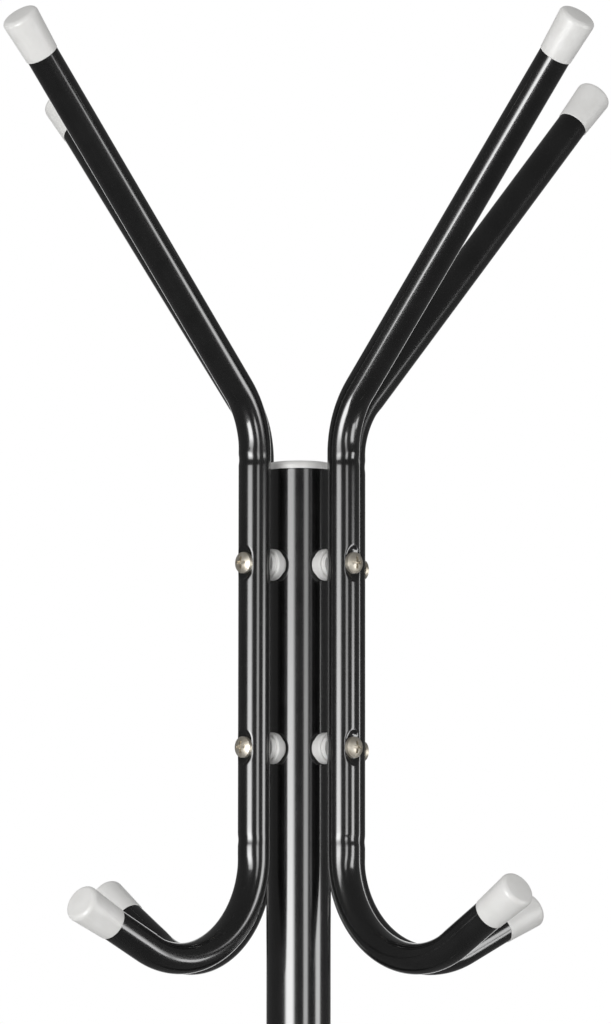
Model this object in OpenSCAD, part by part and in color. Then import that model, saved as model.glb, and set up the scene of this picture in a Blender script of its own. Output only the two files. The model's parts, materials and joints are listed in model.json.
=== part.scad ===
// Bolt-together coat stand in bent steel tube.
// +Z is up. The origin is on the floor, on the axis of the pole.
// Arms and legs point along -X, -Y, +X and +Y.

/* [Pole] */
// Outer diameter of the pole
pole_d = 38.1; // [34:0.1:44]
// Wall of the pole
pole_wall = 1.5; // [1:0.1:2.5]
// Height of the pole's top edge above the floor
pole_top = 1500; // [1100:10:1700]
// Height of the pole's lower edge above the floor
pole_bottom = 62; // [40:1:100]

/* [Bent tubes] */
// Outer diameter of the arms and legs
tube_d = 19.05; // [17:0.05:22]
// Wall of the arms and legs
tube_wall = 1.2; // [0.8:0.1:1.6]
// Gap between the pole and each bent tube
tube_gap = 8.3; // [7:0.1:12]

/* [Arms] */
// Distance from the pole's top edge up to the start of the upper bend
arm_bend_rise = 8; // [0:1:40]
// Radius of the upper bend, on the tube's axis
arm_bend_r = 57; // [40:1:90]
// Lean of the upper arm from upright
arm_lean = 41; // [20:1:60]
// Length of the straight upper arm
arm_length = 238; // [120:1:320]
// Distance from the pole's top edge down to the start of the hook
hook_drop = 228; // [200:1:320]
// Radius of the hook, on the tube's axis
hook_r = 60; // [40:1:80]
// Turn of the left and right hooks from straight down
hook_turn = 116; // [95:1:140]
// How much further the front and back hooks turn
hook_turn_extra = 6; // [0:1:10]
// Length of the straight end of the hook
hook_length = 30; // [5:1:60]
// Turn of the right arm from its quarter of the pole, towards the front arm
right_arm_turn = 9; // [0:0.5:10]
// Turn of the back arm from its quarter of the pole, towards the right arm
back_arm_turn = 3; // [0:0.5:10]

/* [Legs] */
// Slope of the legs from upright
leg_slope = 76; // [60:1:85]
// Radius of both bends of a leg, on the tube's axis
leg_bend_r = 60; // [45:1:90]
// Length of the sloping part of a leg
leg_length = 160; // [100:1:260]
// Length of the upright end above the foot
leg_drop = 18; // [2:1:40]
// Length of the upright part beside the pole
leg_upright = 190; // [150:1:260]

/* [Fixings] */
// Distance from the pole's top edge down to the upper arm screws
arm_screw_drop = 57; // [40:1:80]
// Distance between the two screws of an arm
arm_screw_pitch = 108; // [60:1:125]
// Distance from the top of a leg down to its upper screw
leg_screw_drop = 35; // [20:1:60]
// Distance between the two screws of a leg
leg_screw_pitch = 108; // [60:1:125]
// Diameter of the screws
screw_d = 6.35; // [5:0.05:7]
// Diameter of the screw heads
screw_head_d = 12.5; // [11:0.1:13.5]
// Height of the screw heads
screw_head_h = 4.2; // [3.5:0.1:5]
// Depth of the dent that a screw head sits in
dent_depth = 1.9; // [1:0.1:2.6]
// Length of the dent along the tube
dent_length = 21; // [18:0.5:26]
// Outer diameter of the spacers
spacer_d = 18.5; // [17:0.1:22]
// Thickness of the spacers' rim
spacer_rim = 5.8; // [4:0.1:6.5]

/* [Caps] */
// Length of a cap's head
cap_length = 28; // [15:0.5:36]
// Diameter of a cap's head where it meets the tube
cap_mouth_d = 19.8; // [19.6:0.1:22]
// Diameter of a cap's head at its closed end
cap_end_d = 22; // [20:0.1:26]
// Wall of all the plastic caps
cap_wall = 1.6; // [1.2:0.1:2.2]
// Radius of the edge at a cap's closed end
cap_edge_r = 2; // [0.5:0.1:3]
// Height of the heads of the pole's caps
crown_h = 4.6; // [3:0.1:8]
// Radius of the edge of the heads of the pole's caps
crown_edge_r = 2.8; // [0.5:0.1:3]

/* [Hidden] */
$fn = 72;
sides = ["left", "front", "right", "back"];
arm_turns = [180, -90, -right_arm_turn, 90 - back_arm_turn];
leg_turns = [180, -90, 0, 90];
hook_turns = [for (extra = [0, hook_turn_extra, 0, hook_turn_extra]) hook_turn + extra];
slack = 0.1;      // clearance of every pushed-on or slipped-in fit
cut = 1;          // how far a cut runs past the face it opens
lap = 0.3;        // how far a straight stretch of tube runs into a bend
swell = 0.03;     // how much thicker a bend's wall is on each side
barb = 0.4;       // how far the barbs of a cap's plug stand out
head_room = 0.5;  // space round a screw head in its dent
end_plug = 16;    // length of the plug of a bent tube's cap
pole_plug = 22;   // length of the plug of a pole cap

pole_r = pole_d / 2;
tube_r = tube_d / 2;
bore_r = tube_r - tube_wall;
tube_axis = pole_r + tube_gap + tube_r;
arm_high = pole_top + arm_bend_rise;
arm_low = pole_top - hook_drop;
arm_screws = [for (i = [0, 1]) pole_top - arm_screw_drop - i * arm_screw_pitch];

leg_low = cap_length + leg_drop + 2 * leg_bend_r * sin(leg_slope) + leg_length * cos(leg_slope);
leg_top = leg_low + leg_upright;
leg_screws = [for (i = [0, 1]) leg_top - leg_screw_drop - i * leg_screw_pitch];

// Radial stack of one fixing, measured out from the pole's axis
nut_flange_h = 1;
nut_flange_d = 12;
nut_body_d = 9.5;
nut_length = 12;
nut_bulge_h = 2.5;
rim_in = pole_r + (tube_gap - spacer_rim) / 2;
rim_out = rim_in + spacer_rim;
rim_edge = 0.8;
saddle_d = 14.5;
saddle_grip = 1.6;
saddle_out = tube_axis - tube_r + saddle_grip;
seat = tube_axis + tube_r - dent_depth;
nut_in = pole_r - nut_length;
spare_thread = 2;
head_crown_r = 10.8;
recess_w = 1.7;
recess_l = 7;
recess_h = 2.6;
screw_tip = nut_in + spare_thread;

// ---- Placing ----

// Lays its children's +Z along +X, at one height
module at_screw(height) {
    translate([0, 0, height]) rotate([0, 90, 0]) children();
}

// ---- Bent tube ----
// A run is a list of steps. [radius, angle] is a bend and [length] is straight.
// It starts along +Z, and a positive angle bends it towards +X.

// Straight stretch of tube between two heights
module stretch(low, high) {
    translate([0, 0, low]) difference() {
        cylinder(r = tube_r, h = high - low);
        translate([0, 0, -cut]) cylinder(r = bore_r, h = high - low + 2 * cut);
    }
}

// Bend that starts at the origin
module elbow(bend_r, angle) {
    mirror([angle < 0 ? 1 : 0, 0, 0])
        translate([bend_r, 0, 0]) rotate([90, 0, 180])
            rotate_extrude(angle = abs(angle)) translate([bend_r, 0]) difference() {
                circle(r = tube_r + swell);
                circle(r = bore_r - swell);
            }
}

// Moves its children to the far end of one step
module past(step) {
    if (len(step) == 1) {
        translate([0, 0, step[0]]) children();
    } else {
        turn = abs(step[1]);
        translate([sign(step[1]) * step[0] * (1 - cos(turn)), 0, step[0] * sin(turn)])
            rotate([0, step[1], 0]) children();
    }
}

// Moves its children past the first steps of a run
module along(run, count) {
    if (count == 0) children();
    else past(run[0]) along([for (i = [1:1:len(run) - 1]) run[i]], count - 1) children();
}

// All the stretches and bends of one run
module tube_run(run) {
    for (i = [0:1:len(run) - 1])
        along(run, i)
            if (len(run[i]) == 1) stretch(-lap, run[i][0] + (i == len(run) - 1 ? 0 : lap));
            else elbow(run[i][0], run[i][1]);
}

// The hook of one arm, from its turn
function hook_run(turn) = [[hook_r, turn], [hook_length]];

arm_up = [[arm_bend_r, arm_lean], [arm_length]];
leg_up = [];
leg_down = [[leg_bend_r, leg_slope], [leg_length], [leg_bend_r, -leg_slope], [leg_drop]];

// Tapered dent with a flat floor for the screw head, deeper by depth
module dent(depth) {
    floor_d = screw_head_d + 2 * head_room;
    flare = (dent_length - floor_d) / dent_depth;
    height = dent_depth + depth + cut;
    translate([0, 0, tube_r - dent_depth - depth])
        cylinder(d1 = floor_d, d2 = floor_d + flare * height, h = height);
}

// Upright stretch beside the pole, dented and drilled for its screws
module bolted_stretch(low, high, screws) {
    difference() {
        translate([0, 0, low]) cylinder(r = tube_r, h = high - low);
        difference() {
            translate([0, 0, low - cut]) cylinder(r = bore_r, h = high - low + 2 * cut);
            for (z = screws) at_screw(z) dent(tube_wall);
        }
        for (z = screws) at_screw(z) {
            dent(0);
            translate([0, 0, -tube_r - cut]) cylinder(d = screw_d + 2 * slack, h = tube_d + 2 * cut);
        }
    }
}

// One bent tube beside the pole: an upright stretch and the runs above and below it
module bent_tube(up, down, low, high, screws) {
    translate([tube_axis, 0, 0]) {
        bolted_stretch(low - (len(down) > 0 ? lap : 0), high + (len(up) > 0 ? lap : 0), screws);
        translate([0, 0, high]) tube_run(up);
        translate([0, 0, low]) rotate([180, 0, 0]) tube_run(down);
    }
}

// ---- Plastic caps ----

// Half outline of a plug with barbs, hanging down from the origin
module plug_outline(plug_r, length) {
    pitch = length / 4;
    difference() {
        union() {
            translate([0, -length]) square([plug_r - barb, length]);
            for (i = [0:2]) translate([0, -length + pitch * (i + 0.5)])
                polygon([[0, 0], [plug_r - barb, 0], [plug_r, pitch / 2], [plug_r - barb, pitch / 2],
                    [0, pitch / 2]]);
        }
        translate([-cut, -length - cut]) square([plug_r - barb - cap_wall + cut, length + cut]);
    }
}

// Flared end cap: its mouth is at the origin and its closed end is up
module end_cap() {
    plug_r = bore_r - slack;
    end_r = cap_end_d / 2;
    flat_r = end_r - cap_edge_r;
    shoulder = cap_length - cap_edge_r;
    rotate_extrude() {
        difference() {
            union() {
                polygon([[0, 0], [cap_mouth_d / 2, 0], [end_r, shoulder], [flat_r, shoulder],
                    [flat_r, cap_length], [0, cap_length]]);
                translate([flat_r, shoulder]) circle(r = cap_edge_r);
            }
            translate([-cut, -cut])
                square([plug_r - barb - cap_wall + cut, cap_length - cap_wall + cut]);
        }
        plug_outline(plug_r, end_plug);
    }
}

// End cap on the upper end of a bent tube
module upper_cap(run, high) {
    translate([tube_axis, 0, high]) along(run, len(run)) end_cap();
}

// End cap on the lower end of a bent tube
module lower_cap(run, low) {
    translate([tube_axis, 0, low]) rotate([180, 0, 0]) along(run, len(run)) end_cap();
}

// Low plug for an end of the pole: its head stands up from the origin
module pole_cap() {
    plug_r = pole_r - pole_wall - slack;
    flat_r = pole_r - crown_edge_r;
    shoulder = crown_h - crown_edge_r;
    rotate_extrude() {
        difference() {
            union() {
                square([pole_r, shoulder]);
                square([flat_r, crown_h]);
                translate([flat_r, shoulder]) circle(r = crown_edge_r);
            }
            translate([-cut, -cut])
                square([plug_r - barb - cap_wall + cut, crown_h - cap_wall + cut]);
        }
        plug_outline(plug_r, pole_plug);
    }
}

// ---- Fixings ----

// Round spacer with a saddle on each side: one hugs the pole, the other the tube
module spacer(height) {
    difference() {
        at_screw(height) difference() {
            union() {
                translate([0, 0, rim_in])
                    cylinder(d1 = spacer_d - 2 * rim_edge, d2 = spacer_d, h = rim_edge);
                translate([0, 0, rim_in + rim_edge])
                    cylinder(d = spacer_d, h = spacer_rim - 2 * rim_edge);
                translate([0, 0, rim_out - rim_edge])
                    cylinder(d1 = spacer_d, d2 = spacer_d - 2 * rim_edge, h = rim_edge);
                translate([0, 0, pole_r - cut]) cylinder(d = saddle_d, h = saddle_out - pole_r + cut);
            }
            cylinder(d = screw_d + 4 * slack, h = saddle_out + cut);
            cylinder(d = nut_flange_d + 2 * slack, h = pole_r + nut_flange_h + slack);
        }
        translate([0, 0, height - spacer_d]) {
            cylinder(r = pole_r + slack / 2, h = 2 * spacer_d);
            translate([tube_axis, 0, 0]) cylinder(r = tube_r + slack / 2, h = 2 * spacer_d);
        }
    }
}

// Pan head screw with a cross recess, along +Z from the pole's axis
module screw() {
    difference() {
        union() {
            translate([0, 0, screw_tip]) cylinder(d = screw_d, h = seat - screw_tip + cut);
            intersection() {
                translate([0, 0, seat + slack / 2]) cylinder(d = screw_head_d, h = screw_head_h);
                translate([0, 0, seat + screw_head_h - head_crown_r]) sphere(r = head_crown_r);
            }
        }
        for (turn = [0, 90]) rotate([0, 0, turn])
            translate([-recess_l / 2, -recess_w / 2, seat + screw_head_h - recess_h])
                cube([recess_l, recess_w, recess_h + cut]);
    }
}

// Threaded rivet nut set in the pole's wall, along +Z from the pole's axis
module rivet_nut() {
    difference() {
        union() {
            difference() {
                translate([0, 0, pole_r - cut]) cylinder(d = nut_flange_d, h = cut + nut_flange_h);
                rotate([0, 90, 0]) cylinder(r = pole_r, h = 2 * nut_flange_d, center = true);
            }
            translate([0, 0, nut_in]) cylinder(d = nut_body_d, h = nut_length + nut_flange_h / 2);
            intersection() {
                translate([0, 0, pole_r - pole_wall - nut_bulge_h])
                    cylinder(d = nut_flange_d, h = nut_bulge_h);
                rotate([0, 90, 0])
                    cylinder(r = pole_r - pole_wall - slack / 2, h = 2 * nut_flange_d, center = true);
            }
        }
        translate([0, 0, nut_in - cut])
            cylinder(d = screw_d + slack, h = nut_length + nut_flange_h + 2 * cut);
    }
}

// Hole in the pole's wall for a rivet nut
module nut_hole() {
    translate([0, 0, pole_r - pole_wall - nut_body_d / 2])
        cylinder(d = nut_body_d + slack, h = pole_wall + nut_body_d);
}

// One fixing at every side and height
module each_fixing(turns, heights) {
    for (turn = turns) rotate([0, 0, turn])
        for (z = heights) at_screw(z) children();
}

// ---- Nodes ----

module pole() {
    color("black") difference() {
        translate([0, 0, pole_bottom]) cylinder(r = pole_r, h = pole_top - pole_bottom);
        translate([0, 0, pole_bottom - cut])
            cylinder(r = pole_r - pole_wall, h = pole_top - pole_bottom + 2 * cut);
        each_fixing(arm_turns, arm_screws) nut_hole();
        each_fixing(leg_turns, leg_screws) nut_hole();
    }
}

module pole_top_cap() {
    color("white") translate([0, 0, pole_top]) pole_cap();
}

module pole_bottom_cap() {
    color("white") translate([0, 0, pole_bottom]) rotate([180, 0, 0]) pole_cap();
}

module arm(turn) {
    color("black") bent_tube(arm_up, hook_run(turn), arm_low, arm_high, arm_screws);
}

module arm_cap() {
    color("white") upper_cap(arm_up, arm_high);
}

module hook_cap(turn) {
    color("white") lower_cap(hook_run(turn), arm_low);
}

module arm_spacer(height) {
    color("white") spacer(height);
}

module arm_screws() {
    color("silver") each_fixing(arm_turns, arm_screws) screw();
}

module arm_rivet_nuts() {
    color("darkgoldenrod") each_fixing(arm_turns, arm_screws) rivet_nut();
}

module leg() {
    color("black") bent_tube(leg_up, leg_down, leg_low, leg_top, leg_screws);
}

module leg_cap() {
    color("white") upper_cap(leg_up, leg_top);
}

module foot() {
    color("white") lower_cap(leg_down, leg_low);
}

module leg_spacers() {
    color("white") for (z = leg_screws) spacer(z);
}

module leg_screws() {
    color("silver") each_fixing(leg_turns, leg_screws) screw();
}

module leg_rivet_nuts() {
    color("darkgoldenrod") each_fixing(leg_turns, leg_screws) rivet_nut();
}

pole();
pole_top_cap();
pole_bottom_cap();
for (i = [0:len(sides) - 1]) rotate([0, 0, arm_turns[i]]) {
    arm(hook_turns[i]);
    arm_cap();
    hook_cap(hook_turns[i]);
    arm_spacer(arm_screws[0]);
    arm_spacer(arm_screws[1]);
}
arm_screws();
arm_rivet_nuts();
for (i = [0:len(sides) - 1]) rotate([0, 0, leg_turns[i]]) {
    leg();
    leg_cap();
    foot();
    leg_spacers();
}
leg_screws();
leg_rivet_nuts();
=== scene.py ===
import json
import math

import bmesh
import bpy
from mathutils import Matrix, Vector


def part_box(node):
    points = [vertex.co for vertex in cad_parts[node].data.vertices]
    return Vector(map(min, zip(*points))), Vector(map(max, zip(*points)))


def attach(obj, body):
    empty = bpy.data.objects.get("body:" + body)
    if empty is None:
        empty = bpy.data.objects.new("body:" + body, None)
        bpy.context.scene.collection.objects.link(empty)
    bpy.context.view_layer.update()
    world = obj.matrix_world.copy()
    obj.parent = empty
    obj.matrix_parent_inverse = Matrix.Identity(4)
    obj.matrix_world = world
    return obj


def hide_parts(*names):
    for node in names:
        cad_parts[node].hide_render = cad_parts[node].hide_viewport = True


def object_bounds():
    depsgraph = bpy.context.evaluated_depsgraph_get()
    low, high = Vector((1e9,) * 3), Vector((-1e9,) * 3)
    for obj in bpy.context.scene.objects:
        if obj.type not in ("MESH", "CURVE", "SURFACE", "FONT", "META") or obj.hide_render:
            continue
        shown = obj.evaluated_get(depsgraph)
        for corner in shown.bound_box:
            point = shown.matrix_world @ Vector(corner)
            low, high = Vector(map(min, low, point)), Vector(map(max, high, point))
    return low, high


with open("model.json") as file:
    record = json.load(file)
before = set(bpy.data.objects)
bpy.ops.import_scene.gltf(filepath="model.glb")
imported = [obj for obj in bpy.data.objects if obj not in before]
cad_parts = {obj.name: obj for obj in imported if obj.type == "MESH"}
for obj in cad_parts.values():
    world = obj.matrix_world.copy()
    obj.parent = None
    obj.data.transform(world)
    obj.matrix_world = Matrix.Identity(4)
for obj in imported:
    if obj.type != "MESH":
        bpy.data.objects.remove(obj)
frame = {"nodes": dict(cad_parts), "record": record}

CAD_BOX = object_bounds()
ARM_TURNS = {"left": 180, "front": -90, "right": -9, "back": 87}
LEG_TURNS = {"left": 180, "front": -90, "right": 0, "back": 90}

# ---- Sizes, in metres, read from the frame where a node's box gives them ----
POLE_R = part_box("pole")[1].x
POLE_BOTTOM, POLE_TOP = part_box("pole")[0].z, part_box("pole")[1].z
POLE_WALL = 0.0015
TUBE_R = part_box("leg_back")[1].x
TUBE_WALL = 0.0012
TUBE_GAP = 0.0083
TUBE_AXIS = POLE_R + TUBE_GAP + TUBE_R
ARM_HIGH = POLE_TOP + 0.008
ARM_LOW = POLE_TOP - 0.228
LEG_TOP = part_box("leg_left")[1].z
LEG_UPRIGHT = 0.19
ARM_SCREWS = [POLE_TOP - 0.057, POLE_TOP - 0.165]
LEG_SCREWS = [LEG_TOP - 0.035, LEG_TOP - 0.143]

# A step of a run is (bend radius, angle in degrees) or (straight length,)
ARM_UP = [(0.057, 41), (0.238,)]
HOOK_R = 0.060
HOOK_TURNS = {"left": 116, "front": 122, "right": 116, "back": 122}
HOOK_LENGTH = 0.030
LEG_UP = []
LEG_DOWN = [(0.060, 76), (0.160,), (0.060, -76), (0.018,)]

# The dent under a screw head: its depth, the radius of its flat floor, how steeply it rises outside
# that, per metre, and how soft its rim is
DENT_DEPTH = 0.0019
DENT_FLOOR_R = 0.0066
DENT_RISE = 140.0
DENT_SOFT = 0.0006
# The neck that the bender's clamp leaves: its depth, half its length, and how far it lies inside
# the upright's upper and lower end
NECK_DEPTH = 0.0004
NECK_HALF = 0.0042
UPPER_NECK = 0.004
LOWER_NECK = 0.009
# How far the inside of a bend is flattened, and over how many degrees that fades in and out
BEND_FLAT = 0.0009
BEND_EASE = 8
# Spacing of a tube's rings: along straight runs, in degrees along bends, along the upright, and by a
# screw, with the number of rings on each side of it
RUN_STEP = 0.008
BEND_STEP = 2.5
UPRIGHT_STEP = 0.006
DENT_STEP = 0.0007
DENT_RINGS = 20

# A cap flares from its mouth to a round edge and a slightly domed end; its plug has barbs
CAP_LENGTH = 0.028
CAP_END_R = 0.011
CAP_MOUTH_R = 0.0099
CAP_WALL = 0.0016
CAP_EDGE = 0.003
CAP_CROWN = 0.0004
CAP_LIP = 0.0004
PLUG_DEPTH = 0.016
PLUG_SLACK = 0.0001
PLUG_BARB = 0.0004


# ---- Materials ----
def material(name, **inputs):
    """A Principled material with constant inputs, and its node tree."""
    made = bpy.data.materials.new(name)
    made.use_nodes = True
    shader = made.node_tree.nodes["Principled BSDF"]
    for key, value in inputs.items():
        shader.inputs[key.replace("_", " ")].default_value = value
    return made, made.node_tree, shader


def noise(tree, scale, detail=3.0, roughness=0.5, stretch=(1, 1, 1)):
    """A noise texture in the object's own coordinates."""
    place = tree.nodes.new("ShaderNodeTexCoord")
    mapping = tree.nodes.new("ShaderNodeMapping")
    mapping.inputs["Scale"].default_value = stretch
    tree.links.new(place.outputs["Object"], mapping.inputs["Vector"])
    made = tree.nodes.new("ShaderNodeTexNoise")
    made.inputs["Scale"].default_value = scale
    made.inputs["Detail"].default_value = detail
    made.inputs["Roughness"].default_value = roughness
    tree.links.new(mapping.outputs["Vector"], made.inputs["Vector"])
    return made.outputs["Fac"]


def ramp(tree, source, stops):
    """Maps a value to colours: stops are (position, colour)."""
    made = tree.nodes.new("ShaderNodeValToRGB")
    elements = made.color_ramp.elements
    while len(elements) < len(stops):
        elements.new(0.5)
    for element, (position, colour) in zip(elements, stops):
        element.position = position
        element.color = colour
    tree.links.new(source, made.inputs["Fac"])
    return made.outputs["Color"]


def spread(tree, source, low, high, start=0.0, stop=1.0):
    """Maps start..stop to low..high."""
    made = tree.nodes.new("ShaderNodeMapRange")
    made.inputs["From Min"].default_value = start
    made.inputs["From Max"].default_value = stop
    made.inputs["To Min"].default_value = low
    made.inputs["To Max"].default_value = high
    tree.links.new(source, made.inputs["Value"])
    return made.outputs["Result"]


def maths(tree, operation, first, second):
    """One arithmetic step between two sockets."""
    made = tree.nodes.new("ShaderNodeMath")
    made.operation = operation
    tree.links.new(first, made.inputs[0])
    tree.links.new(second, made.inputs[1])
    return made.outputs["Value"]


def bump(tree, shader, source, strength, distance):
    """Bumps the surface by a texture, distance in metres."""
    made = tree.nodes.new("ShaderNodeBump")
    made.inputs["Strength"].default_value = strength
    made.inputs["Distance"].default_value = distance
    tree.links.new(source, made.inputs["Height"])
    tree.links.new(made.outputs["Normal"], shader.inputs["Normal"])


def grey(value, tint=(1, 1, 1)):
    """A colour of one value, with a tint."""
    return (value * tint[0], value * tint[1], value * tint[2], 1)


def make_enamel():
    """Glossy black stoved enamel with a faint flow of the coat."""
    made, tree, shader = material("black_enamel", IOR=1.5, Coat_Weight=1.0, Coat_Roughness=0.09, Coat_IOR=1.6)
    flow = noise(tree, 60, 2.0)
    tree.links.new(ramp(tree, flow, [(0.3, grey(0.003)), (0.7, grey(0.006))]), shader.inputs["Base Color"])
    tree.links.new(spread(tree, flow, 0.2, 0.28), shader.inputs["Roughness"])
    return made


def make_plastic():
    """Smooth moulded white plastic, a little milky."""
    made, tree, shader = material("white_plastic", IOR=1.49)
    cloud = noise(tree, 90, 3.0)
    tree.links.new(
        ramp(tree, cloud, [(0.3, (0.79, 0.785, 0.765, 1)), (0.7, (0.835, 0.83, 0.815, 1))]),
        shader.inputs["Base Color"],
    )
    tree.links.new(spread(tree, cloud, 0.34, 0.46), shader.inputs["Roughness"])
    bump(tree, shader, noise(tree, 900, 2.0), 0.15, 0.0002)
    return made


def make_nickel():
    """Nickel plating, slightly warm, with fine wear."""
    made, tree, shader = material("nickel_plate", Metallic=0.85)
    wear = noise(tree, 350, 3.0)
    tree.links.new(
        ramp(tree, wear, [(0.3, (0.58, 0.53, 0.44, 1)), (0.7, (0.70, 0.66, 0.58, 1))]),
        shader.inputs["Base Color"],
    )
    tree.links.new(spread(tree, wear, 0.40, 0.48), shader.inputs["Roughness"])
    bump(tree, shader, noise(tree, 1500, 2.0), 0.08, 0.0001)
    return made


def make_zinc():
    """Yellow zinc plating of the rivet nuts."""
    made, tree, shader = material("yellow_zinc", Metallic=1.0)
    wear = noise(tree, 500, 3.0)
    tree.links.new(
        ramp(tree, wear, [(0.3, (0.48, 0.42, 0.24, 1)), (0.7, (0.66, 0.60, 0.36, 1))]),
        shader.inputs["Base Color"],
    )
    tree.links.new(spread(tree, wear, 0.3, 0.5), shader.inputs["Roughness"])
    return made


MATERIALS = {"enamel": make_enamel(), "plastic": make_plastic(), "nickel": make_nickel(), "zinc": make_zinc()}


# ---- Mesh building ----
def add_object(name, data):
    """A new object in the scene."""
    made = bpy.data.objects.new(name, data)
    bpy.context.scene.collection.objects.link(made)
    return made


def add_mesh(name, bm, made_of):
    """A new object of one material from a bmesh, which is used up."""
    mesh = bpy.data.meshes.new(name)
    bm.to_mesh(mesh)
    bm.free()
    mesh.materials.append(made_of)
    return add_object(name, mesh)


def piece(name, bm, slot, replaced):
    """Turns a bmesh into a smooth piece that stands for a CAD node."""
    bmesh.ops.recalc_face_normals(bm, faces=bm.faces)
    for face in bm.faces:
        face.smooth = True
    made = add_mesh(name, bm, MATERIALS[slot])
    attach(made, "root")
    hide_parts(replaced)
    return made


def join_rings(bm, first, second):
    """Faces between two rings of vertices; a ring of one vertex closes a cap."""
    count = max(len(first), len(second))
    for i in range(count):
        j = (i + 1) % count
        there = [first[k % len(first)] for k in (i, j)]
        back = [second[k % len(second)] for k in (j, i)]
        corners = list(dict.fromkeys(there + back))
        if len(corners) > 2:
            bm.faces.new(corners)


def lathe(profile, place, segments=72):
    """A solid of revolution of a closed half outline of (radius, height) points."""
    bm = bmesh.new()
    rings = []
    for radius, height in profile:
        ring = []
        for i in range(1 if radius == 0 else segments):
            angle = math.tau * i / segments
            point = Vector((radius * math.cos(angle), radius * math.sin(angle), height))
            ring.append(bm.verts.new(place @ point))
        rings.append(ring)
    for first, second in zip(rings, rings[1:] + rings[:1]):
        if len(first) > 1 or len(second) > 1:
            join_rings(bm, first, second)
    return bm


def arc(centre, radius, start, stop, count):
    """Points of an arc in a half outline, angles in degrees from the outward direction."""
    angles = [math.radians(start + (stop - start) * i / count) for i in range(count + 1)]
    return [(centre[0] + radius * math.cos(a), centre[1] + radius * math.sin(a)) for a in angles]


# ---- Bent tubes ----
def walk(start, heading, steps):
    """Points of a run as (outward, height, heading, flat).

    Heading is from +Z towards outward, in radians. Flat is how far a bend's inside is flattened,
    from 0 to 1, and negative where the inside is on the other side.
    """
    points = []
    x, z = start
    for step in steps:
        if len(step) == 1:
            count = max(1, round(step[0] / RUN_STEP))
            for i in range(1, count + 1):
                reach = step[0] * i / count
                points.append((x + reach * math.sin(heading), z + reach * math.cos(heading), heading, 0.0))
        else:
            radius, turn = step[0], math.radians(step[1])
            count = max(2, round(abs(step[1]) / BEND_STEP))
            side = math.copysign(1, turn)
            cx, cz = x + side * radius * math.cos(heading), z - side * radius * math.sin(heading)
            for i in range(1, count + 1):
                h = heading + turn * i / count
                flat = side * min(1, abs(step[1]) * min(i, count - i) / count / BEND_EASE)
                points.append((cx - side * radius * math.cos(h), cz + side * radius * math.sin(h), h, flat))
        x, z, heading = points[-1][:3]
    return points


def walk_down(low, steps):
    """Points of a run that goes down from the upright, where a positive turn bends outwards."""
    return walk((TUBE_AXIS, low), math.pi, [(s[0],) if len(s) == 1 else (s[0], -s[1]) for s in steps])


def walk_up(high, steps):
    """Points of a run that goes up from the upright, where a positive turn bends outwards."""
    return walk((TUBE_AXIS, high), 0.0, steps)


def upright(low, high, screws, necks):
    """Heights along the upright: fine by the screws and necks, coarse between them."""
    heights = {low, high}
    count = round((high - low) / UPRIGHT_STEP)
    heights.update(low + (high - low) * i / count for i in range(count + 1))
    for screw in screws:
        heights.update(screw + DENT_STEP * i for i in range(-DENT_RINGS, DENT_RINGS + 1))
    for neck in necks:
        heights.update(neck + NECK_HALF * i / 6 for i in range(-6, 7))
    return sorted(heights)


def blend_min(a, b, soft):
    """The smaller of two values, rounded off where they meet."""
    near = max(soft - abs(a - b), 0) / soft
    return min(a, b) - near * near * soft / 4


def dented(angle, along):
    """Distance from the axis to the skin near a screw: angle from outward, and distance along the tube."""
    out = TUBE_R * math.cos(angle)
    if out <= 0 or abs(along) >= DENT_STEP * DENT_RINGS:
        return TUBE_R
    across = TUBE_R * math.sin(angle)
    edge = max(math.hypot(across, along) - DENT_FLOOR_R, 0)
    floor = TUBE_R - DENT_DEPTH + DENT_RISE * edge * edge
    return math.hypot(across, blend_min(out, floor, DENT_SOFT))


def necked(angle, along):
    """How far the bender's clamp pressed the skin in, most on the side that the tube bends to."""
    if abs(along) > NECK_HALF:
        return 0.0
    return NECK_DEPTH * math.cos(math.pi / 2 * along / NECK_HALF) ** 2 * ((1 + math.cos(angle)) / 2) ** 2


def flattened(angle, flat):
    """How far the skin is pressed in on the inside of a bend."""
    return BEND_FLAT * abs(flat) * max(0, math.copysign(1, flat) * math.cos(angle)) ** 4


def nearest(z, places):
    """The signed distance from the nearest of some heights."""
    return min((z - place for place in places), key=abs)


def tube(name, side_turn, low, high, up, down, screws, replaced, segments=96):
    """A bent tube with a wall, dented under its screw heads and necked where its bends start."""
    necks = [low + LOWER_NECK] + ([high - UPPER_NECK] if up else [])
    lower = [(x, z, h - math.pi, -flat) for x, z, h, flat in walk_down(low, down)]
    middle = [(TUBE_AXIS, z, 0.0, 0.0) for z in upright(low, high, screws, necks)]
    stations = lower[::-1] + middle + walk_up(high, up)
    bm = bmesh.new()
    spin = Matrix.Rotation(math.radians(side_turn), 4, "Z")
    across = Vector((0, 1, 0))
    outer, inner = [], []
    for x, z, h, flat in stations:
        centre = Vector((x, 0, z))
        out = Vector((math.cos(h), 0, -math.sin(h)))
        on_upright = h == 0
        by_screw = nearest(z, screws) if on_upright else math.inf
        by_neck = nearest(z, necks) if on_upright else math.inf
        skin, bore = [], []
        for i in range(segments):
            angle = math.tau * i / segments
            way = out * math.cos(angle) + across * math.sin(angle)
            radius = dented(angle, by_screw) - necked(angle, by_neck) - flattened(angle, flat)
            skin.append(bm.verts.new(spin @ (centre + way * radius)))
            bore.append(bm.verts.new(spin @ (centre + way * (radius - TUBE_WALL))))
        outer.append(skin)
        inner.append(bore)
    for rings in (outer, inner):
        for first, second in zip(rings, rings[1:]):
            join_rings(bm, first, second)
    join_rings(bm, outer[0], inner[0])
    join_rings(bm, outer[-1], inner[-1])
    sharpen(piece(name, bm, "enamel", replaced))


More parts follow.
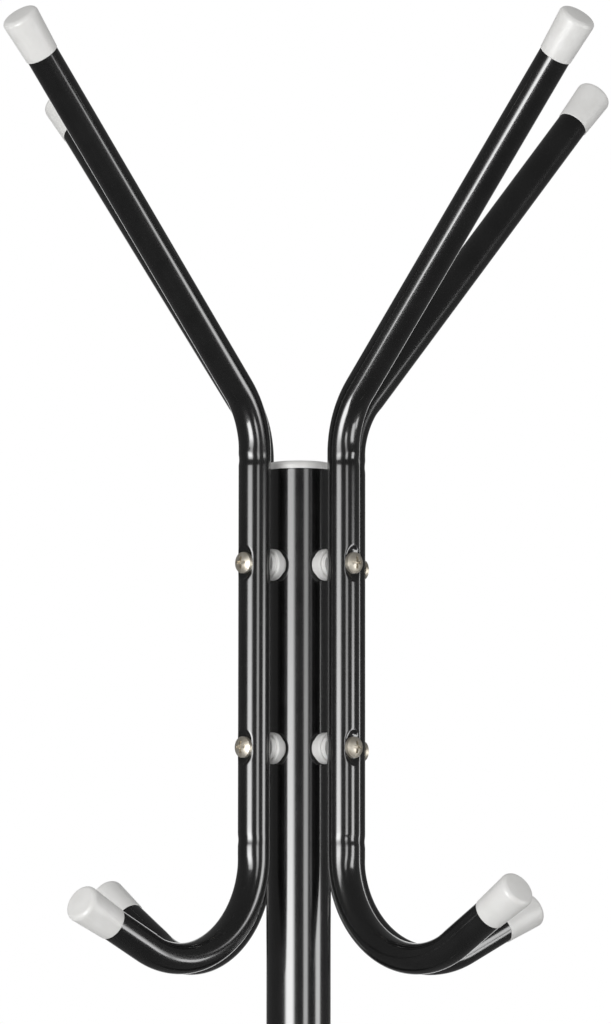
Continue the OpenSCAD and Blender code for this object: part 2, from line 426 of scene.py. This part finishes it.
def sharpen(made, angle=40):
    """Keeps the edges that fold by more than an angle sharp."""
    bm = bmesh.new()
    bm.from_mesh(made.data)
    for edge in bm.edges:
        edge.smooth = not (edge.is_manifold and edge.calc_face_angle(0) > math.radians(angle))
    bm.to_mesh(made.data)
    bm.free()


def make_pole():
    """The pole's tube, with eased ends."""
    ease = 0.0003
    inner = POLE_R - POLE_WALL
    rise = POLE_TOP - POLE_BOTTOM
    profile = [(inner + ease, 0), (POLE_R - ease, 0), (POLE_R, ease)]
    profile += [(POLE_R, rise * i / 48) for i in range(1, 48)]
    profile += [(POLE_R, rise - ease), (POLE_R - ease, rise), (inner + ease, rise), (inner, rise - ease)]
    profile += [(inner, rise * i / 12) for i in range(11, 0, -1)] + [(inner, ease)]
    bm = lathe(profile, Matrix.Translation((0, 0, POLE_BOTTOM)), 144)
    sharpen(piece("pole_tube", bm, "enamel", "pole"))


# ---- Caps ----
def cap_profile():
    """Half outline of a flared end cap with its barbed plug; the mouth is at height 0."""
    plug_r = TUBE_R - TUBE_WALL - PLUG_SLACK
    core_r = plug_r - PLUG_BARB
    profile = [(core_r, 0), (CAP_MOUTH_R - CAP_LIP, 0)]
    profile += arc((CAP_MOUTH_R - CAP_LIP, CAP_LIP), CAP_LIP, -90, 0, 4)[1:]
    flat_r = CAP_END_R - CAP_EDGE
    flare = CAP_LENGTH - CAP_CROWN - CAP_EDGE
    for i in range(1, 6):
        share = i / 6
        profile.append((
            CAP_MOUTH_R + (CAP_END_R - CAP_MOUTH_R) * share,
            CAP_LIP + (flare - CAP_LIP) * share,
        ))
    profile += arc((flat_r, flare), CAP_EDGE, 0, 84, 10)
    profile += [(flat_r * (1 - i / 6), CAP_LENGTH - CAP_CROWN * (1 - i / 6) ** 2) for i in range(7)]
    roof = CAP_LENGTH - CAP_WALL
    hollow_r = core_r - CAP_WALL
    profile += [(0, roof), (hollow_r, roof), (hollow_r, -PLUG_DEPTH), (core_r, -PLUG_DEPTH)]
    pitch = PLUG_DEPTH / 4
    for i in range(3):
        root = -PLUG_DEPTH + pitch * (i + 0.5)
        profile += [(core_r, root), (plug_r, root + pitch / 2), (core_r, root + pitch / 2)]
    return profile


def cap(name, side_turn, end, replaced):
    """A cap on the end of a run: end starts with (outward, height, heading)."""
    x, z, heading = end[:3]
    place = (
        Matrix.Rotation(math.radians(side_turn), 4, "Z")
        @ Matrix.Translation((x, 0, z))
        @ Matrix.Rotation(heading, 4, "Y")
    )
    sharpen(piece(name, lathe(cap_profile(), place), "plastic", replaced))


# ---- The stand ----
def make_arm(side, turn):
    """One arm with its two caps."""
    arm_down = [(HOOK_R, HOOK_TURNS[side]), (HOOK_LENGTH,)]
    tube("arm_tube_" + side, turn, ARM_LOW, ARM_HIGH, ARM_UP, arm_down, ARM_SCREWS, "arm_" + side)
    cap("hat_cap_" + side, turn, walk_up(ARM_HIGH, ARM_UP)[-1], "arm_cap_" + side)
    cap("coat_cap_" + side, turn, walk_down(ARM_LOW, arm_down)[-1], "hook_cap_" + side)


def make_leg(side, turn):
    """One leg with its two caps."""
    leg_low = LEG_TOP - LEG_UPRIGHT
    tube("leg_tube_" + side, turn, leg_low, LEG_TOP, LEG_UP, LEG_DOWN, LEG_SCREWS, "leg_" + side)
    cap("top_cap_" + side, turn, (TUBE_AXIS, LEG_TOP, 0.0), "leg_cap_" + side)
    cap("foot_cap_" + side, turn, walk_down(leg_low, LEG_DOWN)[-1], "foot_" + side)


make_pole()
for side_name, side_turn in ARM_TURNS.items():
    make_arm(side_name, side_turn)
for side_name, side_turn in LEG_TURNS.items():
    make_leg(side_name, side_turn)

SLOTS = {s["node"]: s["material_slot"] for s in frame["record"]["subparts"]}
for node_name, node in frame["nodes"].items():
    for node_slot in node.material_slots:
        node_slot.material = MATERIALS[SLOTS[node_name]]


# ---- Camera, in metres and radians, fitted to the tubes' edges in the photo ----
VIEW_TURN = math.radians(225.23)
TOWARDS_CAMERA = Vector((math.cos(VIEW_TURN), math.sin(VIEW_TURN), 0))
IMAGE_RIGHT = Vector((-TOWARDS_CAMERA.y, TOWARDS_CAMERA.x, 0))
CAMERA_DISTANCE = 3.404
CAMERA_BELOW_TOP = 0.307
CAMERA_YAW = 0.0011
CAMERA_PITCH = 0.0828
CAMERA_ROLL = 0.0012
CAMERA_LENS = 202.96


def make_camera():
    """A long lens a little below the pole's top, pitched up and hardly rolled."""
    data = bpy.data.cameras.new("camera")
    data.lens = CAMERA_LENS
    data.sensor_width = 36
    data.clip_start = 0.1
    data.clip_end = 100
    camera = add_object("camera", data)
    level = IMAGE_RIGHT * math.sin(CAMERA_YAW) - TOWARDS_CAMERA * math.cos(CAMERA_YAW)
    forward = level * math.cos(CAMERA_PITCH) + Vector((0, 0, math.sin(CAMERA_PITCH)))
    level_right = level.cross(Vector((0, 0, 1)))
    level_up = level_right.cross(forward)
    right = level_right * math.cos(CAMERA_ROLL) + level_up * math.sin(CAMERA_ROLL)
    up = level_up * math.cos(CAMERA_ROLL) - level_right * math.sin(CAMERA_ROLL)
    place = Matrix((right, up, -forward)).transposed().to_4x4()
    place.translation = TOWARDS_CAMERA * CAMERA_DISTANCE + Vector((0, 0, POLE_TOP - CAMERA_BELOW_TOP))
    camera.matrix_world = place
    bpy.context.scene.camera = camera


make_camera()


# ---- Light ----
def around(azimuth):
    """A level direction, in degrees from the camera's side of the pole towards the image's right."""
    a = math.radians(azimuth)
    return TOWARDS_CAMERA * math.cos(a) + IMAGE_RIGHT * math.sin(a)


SOFTBOX_DISTANCE = 2.2
SOFT_SIDE = 0.26
LAMP_AIM = Vector((0, 0, 1.3))
LAMP_DISTANCE = 3.6


def make_glow(name, fades):
    """Light that fades to nothing at the sides and follows (share of height, radiance) upwards."""
    glow = bpy.data.materials.new(name)
    glow.use_nodes = True
    tree = glow.node_tree
    tree.nodes.clear()
    place = tree.nodes.new("ShaderNodeTexCoord")
    split = tree.nodes.new("ShaderNodeSeparateXYZ")
    tree.links.new(place.outputs["Generated"], split.inputs["Vector"])
    top = max(radiance for share, radiance in fades)
    shade = ramp(tree, split.outputs["Y"], [(share, grey(radiance / top)) for share, radiance in fades])
    sides = ramp(tree, split.outputs["X"], [
        (0.0, grey(0)), (SOFT_SIDE, grey(1)), (1 - SOFT_SIDE, grey(1)), (1.0, grey(0))])
    both = tree.nodes.new("ShaderNodeVectorMath")
    both.operation = "MULTIPLY"
    tree.links.new(shade, both.inputs[0])
    tree.links.new(sides, both.inputs[1])
    emission = tree.nodes.new("ShaderNodeEmission")
    emission.inputs["Strength"].default_value = top
    tree.links.new(both.outputs["Vector"], emission.inputs["Color"])
    out = tree.nodes.new("ShaderNodeOutputMaterial")
    tree.links.new(emission.outputs["Emission"], out.inputs["Surface"])
    return glow


def softbox(name, azimuth, half_width, low, high, fades):
    """A tall panel that only reflections see; its half width is in degrees as seen from the pole."""
    width = 2 * SOFTBOX_DISTANCE * math.tan(math.radians(half_width))
    bm = bmesh.new()
    bmesh.ops.create_grid(bm, x_segments=1, y_segments=1, size=0.5)
    panel = add_mesh(name, bm, make_glow(name, fades))
    way = around(azimuth)
    place = Matrix((way.cross(Vector((0, 0, 1))), Vector((0, 0, 1)), way)).transposed().to_4x4()
    place.translation = way * SOFTBOX_DISTANCE + Vector((0, 0, (low + high) / 2))
    panel.matrix_world = place @ Matrix.Diagonal((width, high - low, 1, 1))
    panel.visible_camera = False
    panel.visible_diffuse = False
    panel.visible_transmission = False
    panel.visible_shadow = False


def lamp(name, azimuth, height, size, level):
    """A soft lamp that lights matt surfaces facing it to a level, where 1 shows a colour as written.

    A disc of P watts gives P / (pi * reach ** 2) straight ahead, and white shows as 1 at pi.
    """
    place = around(azimuth) * LAMP_DISTANCE + Vector((0, 0, height))
    aim = LAMP_AIM - place
    data = bpy.data.lights.new(name, "AREA")
    data.shape = "DISK"
    data.size = size
    data.energy = level * (math.pi * aim.length) ** 2
    made = add_object(name, data)
    made.location = place
    made.rotation_euler = aim.to_track_quat("-Z", "Y").to_euler()
    made.visible_glossy = False
    made.visible_camera = False


# The backdrop that reflections see is centred opposite the camera: it starts at the first cosine to
# that direction and is full at the second. The room round it is dimmer in reflections than as a light
BACKDROP = (0.90, 0.98)
ROOM_LIT = 0.55
ROOM_MIRRORED = 0.1


def make_world():
    """A white backdrop for the camera and, behind the stand, for reflections; a dim room elsewhere."""
    world = bpy.data.worlds.new("world")
    bpy.context.scene.world = world
    world.use_nodes = True
    tree = world.node_tree
    tree.nodes.clear()
    path = tree.nodes.new("ShaderNodeLightPath")
    place = tree.nodes.new("ShaderNodeTexCoord")
    facing = tree.nodes.new("ShaderNodeVectorMath")
    facing.operation = "DOT_PRODUCT"
    facing.inputs[1].default_value = -TOWARDS_CAMERA
    tree.links.new(place.outputs["Generated"], facing.inputs[0])
    behind = spread(tree, facing.outputs["Value"], 0.0, 1.0, *BACKDROP)
    mirrored = maths(tree, "MAXIMUM", path.outputs["Is Glossy Ray"], path.outputs["Is Transmission Ray"])
    white = maths(tree, "MAXIMUM", path.outputs["Is Camera Ray"], maths(tree, "MULTIPLY", mirrored, behind))
    room = spread(tree, mirrored, ROOM_LIT, ROOM_MIRRORED)
    mix = tree.nodes.new("ShaderNodeMix")
    mix.data_type = "FLOAT"
    tree.links.new(white, mix.inputs["Factor"])
    tree.links.new(room, mix.inputs["A"])
    mix.inputs["B"].default_value = 1.0
    shade = tree.nodes.new("ShaderNodeBackground")
    shade.inputs["Color"].default_value = grey(1)
    tree.links.new(mix.outputs["Result"], shade.inputs["Strength"])
    out = tree.nodes.new("ShaderNodeOutputWorld")
    tree.links.new(shade.outputs["Background"], out.inputs["Surface"])


# Metres from the middle at which the floor starts to whiten for the camera and is white, and its share
# of white up to the start
FLOOR_FADE = (0.6, 4.5)
FLOOR_WHITE = 0.4
FLOOR_DROP = 0.0005


def make_floor_material():
    """Pale and matt, and for the camera alone whiter with the distance from the stand."""
    made, tree, shader = material("floor", Base_Color=grey(0.82), Roughness=0.9)
    place = tree.nodes.new("ShaderNodeTexCoord")
    reach = tree.nodes.new("ShaderNodeVectorMath")
    reach.operation = "LENGTH"
    tree.links.new(place.outputs["Object"], reach.inputs[0])
    path = tree.nodes.new("ShaderNodeLightPath")
    far = spread(tree, reach.outputs["Value"], FLOOR_WHITE, 1.0, *FLOOR_FADE)
    share = maths(tree, "MULTIPLY", path.outputs["Is Camera Ray"], far)
    white = tree.nodes.new("ShaderNodeEmission")
    white.inputs["Color"].default_value = grey(1)
    mix = tree.nodes.new("ShaderNodeMixShader")
    tree.links.new(share, mix.inputs["Fac"])
    tree.links.new(shader.outputs["BSDF"], mix.inputs[1])
    tree.links.new(white.outputs["Emission"], mix.inputs[2])
    tree.links.new(mix.outputs["Shader"], tree.nodes["Material Output"].inputs["Surface"])
    return made


def make_floor():
    """A plain pale floor that keeps the stand's shadow and fades to the white backdrop far away."""
    bm = bmesh.new()
    bmesh.ops.create_circle(bm, cap_ends=True, radius=12, segments=96)
    floor = add_mesh("floor", bm, make_floor_material())
    floor.location.z = CAD_BOX[0].z - FLOOR_DROP
    floor.visible_glossy = False


make_world()
make_floor()
softbox("softbox_left", -32, 20, 0.35, 1.85, [(0.0, 10.5), (0.57, 10.5), (0.69, 7.6), (0.8, 5.5), (1.0, 4.0)])
softbox("softbox_middle", 25, 10, 0.9, 1.85, [(0.0, 5.0), (0.3, 5.0), (0.7, 3.0), (1.0, 2.2)])
softbox("softbox_right", 72.5, 13, 0.45, 1.68, [(0.0, 5.4), (0.85, 5.4), (1.0, 0.5)])
softbox("softbox_low", 89, 7, 0.30, 0.85, [(0.0, 5.0), (0.85, 5.0), (1.0, 0.0)])
lamp("key", -27, 1.0, 1.9, 0.42)
lamp("fill", 70, 1.6, 1.8, 0.07)

bpy.context.scene.view_settings.view_transform = "Standard"
